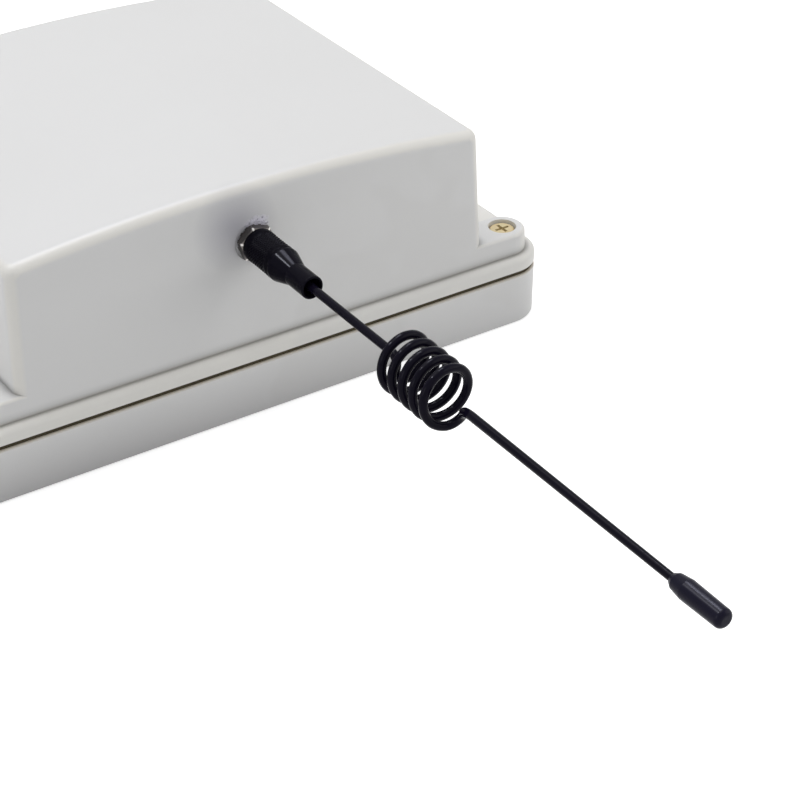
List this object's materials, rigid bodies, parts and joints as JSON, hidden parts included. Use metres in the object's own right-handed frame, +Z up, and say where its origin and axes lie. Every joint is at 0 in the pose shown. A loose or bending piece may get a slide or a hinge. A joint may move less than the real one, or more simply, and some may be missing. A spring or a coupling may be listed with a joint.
{
  "type": "radio transmitter",
  "caption": "weatherproof radio transmitter: off-white gasketed case with screw ears and crowned top, and a black whip antenna with a loading coil that unscrews from its front wall",
  "frame": {"origin": "middle of the tray's underside, the face that the case rests on", "axes": "+Z up out of the case's arched top, +Y towards the back, the antenna points along -Y, +X to the right seen from the antenna's side"},
  "size_m": [0.16, 0.2738, 0.0582],
  "materials": {
    "shell_plastic": "off-white moulded ABS, fine satin texture",
    "tray_plastic": "off-white moulded ABS, fine satin texture",
    "gasket_foam": "dark olive-brown foam rubber",
    "screw_zinc": "yellow-passivated zinc plate",
    "bare_brass": "turned brass",
    "small_screw_steel": "bright zinc plate",
    "board_laminate": "green solder mask over glass laminate",
    "module_laminate": "dark blue solder mask",
    "can_metal": "tinned sheet",
    "gold_contact": "thin gold plate",
    "coax_jacket": "black cable jacket",
    "socket_nickel": "nickel plate",
    "insulator_white": "milky insulating plastic",
    "washer_nickel": "dull nickel plate, sharp teeth",
    "nut_steel": "dark nickel plate, bright corners",
    "coupling_black": "black plated, fine knurl",
    "foot_black": "black, smooth, half gloss",
    "wire_black": "black sleeve, glossy",
    "cap_black": "black, smooth, half gloss",
    "chip_black": "black moulded resin",
    "part_ceramic": "tan ceramic with tinned ends",
    "inductor_grey": "dark grey ferrite",
    "capacitor_sleeve": "plain aluminium can",
    "light_lens": "diffuse red lens",
    "switch_black": "black moulded body",
    "button_grey": "grey moulded button",
    "holder_black": "black moulded holder",
    "cell_sleeve": "plain dark printed sleeve without lettering",
    "contact_nickel": "nickel-plated spring steel",
    "plug_white": "natural moulded plug",
    "lead_red": "red insulation",
    "lead_black": "black insulation"
  },
  "bodies": {
    "tray": {"base_tray": "tray_plastic", "threaded_inserts": "bare_brass", "sealing_gasket": "gasket_foam"},
    "whip": {"antenna_foot": "foot_black", "antenna_pin": "gold_contact", "whip_wire": "wire_black", "tip_cap": "cap_black"},
    "nut": {"coupling_nut": "coupling_black"},
    "button": {"pairing_button": "button_grey"},
    "slider": {"power_slider": "switch_black"},
    "shell": {"upper_shell": "shell_plastic", "cover_screws": "screw_zinc", "circuit_board": "board_laminate", "board_screws": "small_screw_steel", "radio_module": "module_laminate", "shield_can": "can_metal", "coax_plug": "gold_contact", "coax_pigtail": "coax_jacket", "antenna_jack": "socket_nickel", "jack_insulator": "insulator_white", "jack_contact": "gold_contact", "star_washer": "washer_nickel", "panel_nut": "nut_steel", "controller_chip": "chip_black", "crystal": "can_metal", "voltage_regulator": "chip_black", "power_inductor": "inductor_grey", "smoothing_capacitors": "capacitor_sleeve", "chip_components": "part_ceramic", "status_light": "light_lens", "pairing_switch": "switch_black", "power_switch": "can_metal", "battery_holder": "holder_black", "holder_screws": "small_screw_steel", "battery_cells": "cell_sleeve", "battery_contacts": "contact_nickel", "battery_socket": "plug_white", "battery_plug": "plug_white", "red_lead": "lead_red", "black_lead": "lead_black"}
  },
  "joints": [
    {"name": "shell_lift", "type": "slide", "parent": "tray", "child": "shell", "axis": [0, 0, 1], "range_m": [0, 0.06]},
    {"name": "whip_advance", "type": "slide", "parent": "shell", "child": "whip", "axis": [0, -1, 0], "range_m": [0, 0.00459]},
    {"name": "nut_spin", "type": "hinge", "parent": "whip", "child": "nut", "pos_m": [-0.0016, -0.062, 0.0442], "axis": [0, -1, 0], "range_deg": [0, 2340]},
    {"name": "button_press", "type": "slide", "parent": "shell", "child": "button", "axis": [0, 0, 1], "range_m": [0, 0.0003], "stiffness_N_per_m": 2000},
    {"name": "switch_slide", "type": "slide", "parent": "shell", "child": "slider", "axis": [1, 0, 0], "range_m": [0, 0.002]}
  ],
  "couplings": [
    {"joint": "nut_spin", "follows": "whip_advance", "rad_per_m": 8905.3}
  ]
}
